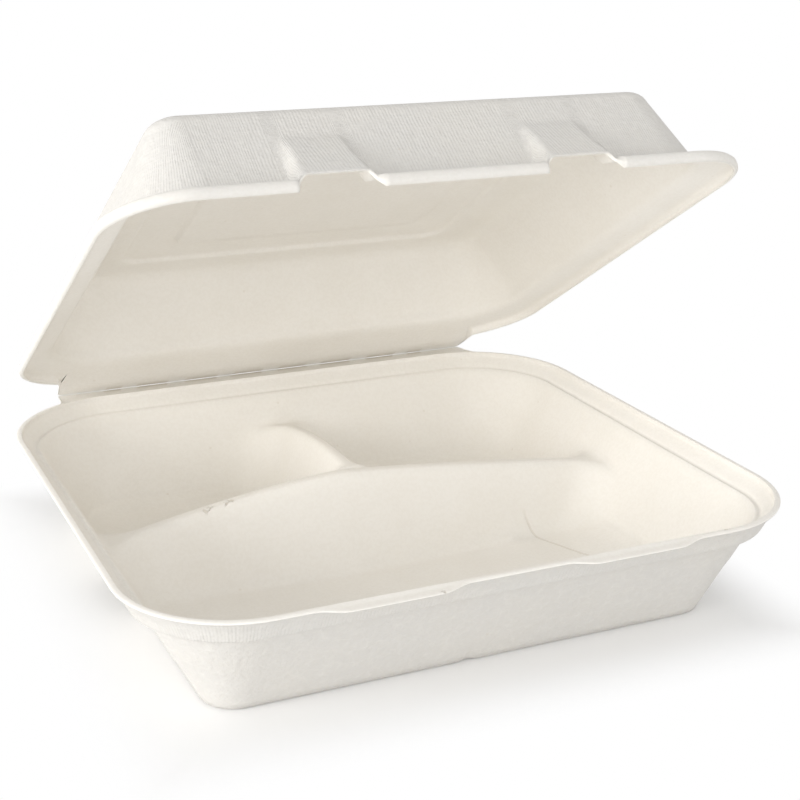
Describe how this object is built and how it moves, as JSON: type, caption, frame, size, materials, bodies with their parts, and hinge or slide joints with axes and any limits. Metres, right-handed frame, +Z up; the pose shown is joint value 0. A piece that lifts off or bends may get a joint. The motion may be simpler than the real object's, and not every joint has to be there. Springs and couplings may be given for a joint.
{
  "type": "three-compartment sugarcane meal box",
  "caption": "Square hinged meal box moulded from thin sugarcane pulp: a low tray with a T-shaped divider ridge and a domed lid on a slit crease.",
  "frame": {"origin": "on the table, midway between the free edges of the front tabs and the crease, in the middle from left to right", "axes": "+X to the right seen from the front, +Y from the front tabs towards the hinge, +Z up"},
  "size_m": [0.229, 0.2234, 0.1707],
  "materials": {
    "tray_pulp": "matt moulded sugarcane pulp",
    "lid_pulp": "matt moulded sugarcane pulp"
  },
  "bodies": {
    "tray": {"base_tray": "tray_pulp"},
    "cover": {"lid": "lid_pulp"}
  },
  "joints": [
    {"name": "lid_hinge", "type": "hinge", "parent": "tray", "child": "cover", "pos_m": [0, 0.1114, 0.0387], "axis": [-1, 0, 0], "range_deg": [-31.6, 140]}
  ]
}
